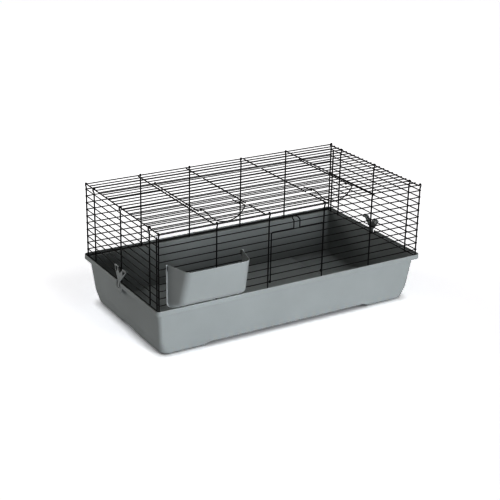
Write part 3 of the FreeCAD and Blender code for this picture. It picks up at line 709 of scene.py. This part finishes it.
def add_ring(vertices, faces, near, far, degrees):
    """Part of a tube round the Y axis, from one angle to another, with softened ends."""
    clip = ClipShape
    soft = clip.ring_edge
    base = len(vertices)
    stations = [(near, soft), (near + soft, 0.0), (far - soft, 0.0), (far, soft)]
    turns = spread(*map(math.radians, degrees), 25)
    for y, shrink in stations:
        for radius, way in [(clip.ring - shrink, 1), (clip.bore + shrink, -1)]:
            vertices += [Vector((radius * math.cos(t), y, radius * math.sin(t))) for t in turns[::way]]
    size = 2 * len(turns)
    faces += tube_faces(base, len(stations), size)
    for level in (0, len(stations) - 1):
        start = base + level * size
        for k in range(len(turns) - 1):
            faces.append((start + k, start + k + 1, start + size - 2 - k, start + size - 1 - k))


def build_clip(name, hand, body):
    """A forked clip: two ears ringed on a side wire and a stem down to the tub's lip."""
    clip = ClipShape
    low, high = (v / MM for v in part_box(name))
    axis = Vector((clip.axis_x * hand, (low.y + high.y) / 2, clip.axis_z))
    outline = clip.half + [clip.fork] + [(-y, z) for y, z in reversed(clip.half)]
    outlines = [soften(outline, clip.corner)]
    for side in (-1, 1):
        outlines.append(soften([(y * side, z) for y, z in clip.hole], clip.hole_corner))
    flat, faces = plate_mesh(outlines, clip.thickness, clip.edge)
    vertices = [Vector((-clip.face - clip.thickness / 2 + v.z, v.x, v.y)) for v in flat]
    for side in (-1, 1):
        for near, far, degrees in clip.rings:
            add_ring(vertices, faces, *sorted((near * side, far * side)), degrees)
    tilt = Matrix.Rotation(math.radians(clip.tilt * -hand), 3, "Y")
    facing = Matrix.Rotation(0 if hand < 0 else math.pi, 3, "Z")
    vertices = [axis + tilt @ facing @ v for v in vertices]
    new_piece(name + "_moulding", vertices, faces, body, "clip_plastic", name, sharp=35)


build_clip("left_clip", -1, "clip_left")
build_clip("right_clip", 1, "clip_right")


# ---------------------------------------------------------------- floor, light and camera


WHITE = (1.0, 1.0, 1.0)
FLOOR_REACH = 60.0
FLOOR_COLOUR = (0.9, 0.9, 0.9)
FLOOR_TINT = (0.98, 1.0, 1.04)
FLOOR_GLOW = 0.6
CONTACT_REACH = 0.03
BACKDROP_HEIGHT = 18.0
BACKDROP_GLOW = 1.03
WORLD_LOW = 0.17
WORLD_HIGH = 0.3
WORLD_TINT = (1.06, 1.0, 0.93)
KEY_TINT = (1.0, 1.0, 1.01)
LEFT_TINT = (1.05, 1.0, 0.97)
LOW_AIM = (0, 0, 0.15)
HIGH_AIM = (0, 0, 0.2)


def add_floor():
    """A pale floor that lights the object from below but doesn't show in its gloss.

    Its glow falls off close to the object, which paints the contact shadow onto it.
    """
    mesh = bpy.data.meshes.new("floor")
    reach = FLOOR_REACH
    corners = [(-reach, -reach, 0), (reach, -reach, 0), (reach, reach, 0), (-reach, reach, 0)]
    mesh.from_pydata(corners, [], [(0, 1, 2, 3)])
    floor = add_object("floor", mesh)
    look = Look("floor_look", FLOOR_COLOUR, 0.9)
    look.shader.inputs["Specular IOR Level"].default_value = 0.1
    look.shader.inputs["Emission Color"].default_value = (*FLOOR_TINT, 1)
    # Painted contact shadow: ambient occlusion dims the floor's glow close to the object.
    painted_contact_shade = look.nodes.new("ShaderNodeAmbientOcclusion")
    painted_contact_shade.inputs["Distance"].default_value = CONTACT_REACH
    glow = look.nodes.new("ShaderNodeMapRange")
    glow.inputs["To Min"].default_value = 0.0
    glow.inputs["To Max"].default_value = FLOOR_GLOW
    look.links.new(painted_contact_shade.outputs["AO"], glow.inputs["Value"])
    look.links.new(glow.outputs["Result"], look.shader.inputs["Emission Strength"])
    mesh.materials.append(look.material)
    floor.visible_glossy = False
    return floor


def add_backdrop():
    """A white wall round the floor's edge, seen only by the camera, that hides the horizon."""
    mesh = bpy.data.meshes.new("backdrop")
    steps = 48
    radius = FLOOR_REACH * 0.98
    vertices = []
    faces = []
    for step in range(steps):
        turn = 2 * math.pi * step / steps
        for z in (0.0, BACKDROP_HEIGHT):
            vertices.append((radius * math.cos(turn), radius * math.sin(turn), z))
        here, there = 2 * step, 2 * ((step + 1) % steps)
        faces.append((here, there, there + 1, here + 1))
    mesh.from_pydata(vertices, [], faces)
    backdrop = add_object("backdrop", mesh)
    look = Look("backdrop_look", (0.0, 0.0, 0.0), 1.0)
    look.shader.inputs["Specular IOR Level"].default_value = 0.0
    look.shader.inputs["Emission Color"].default_value = (*WHITE, 1)
    look.shader.inputs["Emission Strength"].default_value = BACKDROP_GLOW
    mesh.materials.append(look.material)
    backdrop.visible_diffuse = False
    backdrop.visible_glossy = False
    backdrop.visible_shadow = False


def add_area_light(name, place, aim, size, power, tint=WHITE):
    """A rectangular light of this width and height that faces a point."""
    data = bpy.data.lights.new(name, "AREA")
    data.shape = "RECTANGLE"
    data.size, data.size_y = size
    data.energy = power
    data.color = tint
    light = add_object(name, data)
    light.location = place
    light.rotation_euler = (Vector(aim) - Vector(place)).to_track_quat("-Z", "Y").to_euler()
    return light


def add_sun(name, towards, angle, strength):
    data = bpy.data.lights.new(name, "SUN")
    data.angle = math.radians(angle)
    data.energy = strength
    light = add_object(name, data)
    light.rotation_euler = Vector(towards).to_track_quat("Z", "Y").to_euler()
    return light


def link_light(light, piece, state):
    """Let the light reach only this piece (INCLUDE), or all but it (EXCLUDE)."""
    group = bpy.data.collections.new(light.name + "_group")
    group.objects.link(piece)
    group.collection_objects[0].light_linking.link_state = state
    light.light_linking.receiver_collection = group


def add_lights(floor):
    """Of these, only the rim light and the floor's own low sun reach the floor."""
    key = add_area_light("key", (0.5, -4.7, 0.95), LOW_AIM, size=(2.0, 1.5), power=208, tint=KEY_TINT)
    overhead = add_area_light("overhead", (0.7, 0.5, 3.2), HIGH_AIM, size=(1.2, 1.2), power=52)
    add_area_light("rim", (-2.0, 3.6, 1.6), HIGH_AIM, size=(1.6, 1.0), power=36)
    left = add_area_light("left", (-2.9, 1.8, 0.6), LOW_AIM, size=(1.6, 0.9), power=30, tint=LEFT_TINT)
    for light in (key, overhead, left):
        link_light(light, floor, "EXCLUDE")
    floor_light = add_sun("floor_light", towards=(0.28, -1.0, 0.5), angle=30, strength=1.1)
    link_light(floor_light, floor, "INCLUDE")


def add_camera():
    """Left of the front, a little above, with a long lens."""
    azimuth, elevation, roll = (math.radians(d) for d in (-31.45, 21.82, 1.22))
    place = (-2.0258, -3.25055, 1.7342)
    back = Vector((math.sin(azimuth) * math.cos(elevation),
                   -math.cos(azimuth) * math.cos(elevation), math.sin(elevation)))
    level = Vector((math.cos(azimuth), math.sin(azimuth), 0))
    up = back.cross(level)
    across = level * math.cos(roll) + up * math.sin(roll)
    upright = up * math.cos(roll) - level * math.sin(roll)
    data = bpy.data.cameras.new("camera")
    data.lens = 87.0
    data.sensor_width = 36.0
    camera = add_object("camera", data)
    turn = Matrix((across, upright, back)).transposed().to_4x4()
    camera.matrix_world = Matrix.Translation(place) @ turn
    bpy.context.scene.camera = camera


def add_world():
    """A plain studio, paler overhead than below."""
    world = bpy.data.worlds.new("studio")
    world.use_nodes = True
    nodes, links = world.node_tree.nodes, world.node_tree.links
    background = nodes["Background"]
    background.inputs["Color"].default_value = (*WORLD_TINT, 1)
    place = nodes.new("ShaderNodeTexCoord")
    apart = nodes.new("ShaderNodeSeparateXYZ")
    links.new(place.outputs["Generated"], apart.inputs["Vector"])
    height = nodes.new("ShaderNodeMapRange")
    height.inputs["From Min"].default_value = -0.3
    height.inputs["From Max"].default_value = 0.5
    height.inputs["To Min"].default_value = WORLD_LOW
    height.inputs["To Max"].default_value = WORLD_HIGH
    links.new(apart.outputs["Z"], height.inputs["Value"])
    links.new(height.outputs["Result"], background.inputs["Strength"])
    bpy.context.scene.world = world


the_floor = add_floor()
add_backdrop()
add_world()
add_lights(the_floor)
add_camera()
bpy.context.scene.view_settings.view_transform = "Standard"
bpy.context.scene.view_settings.gamma = 0.5
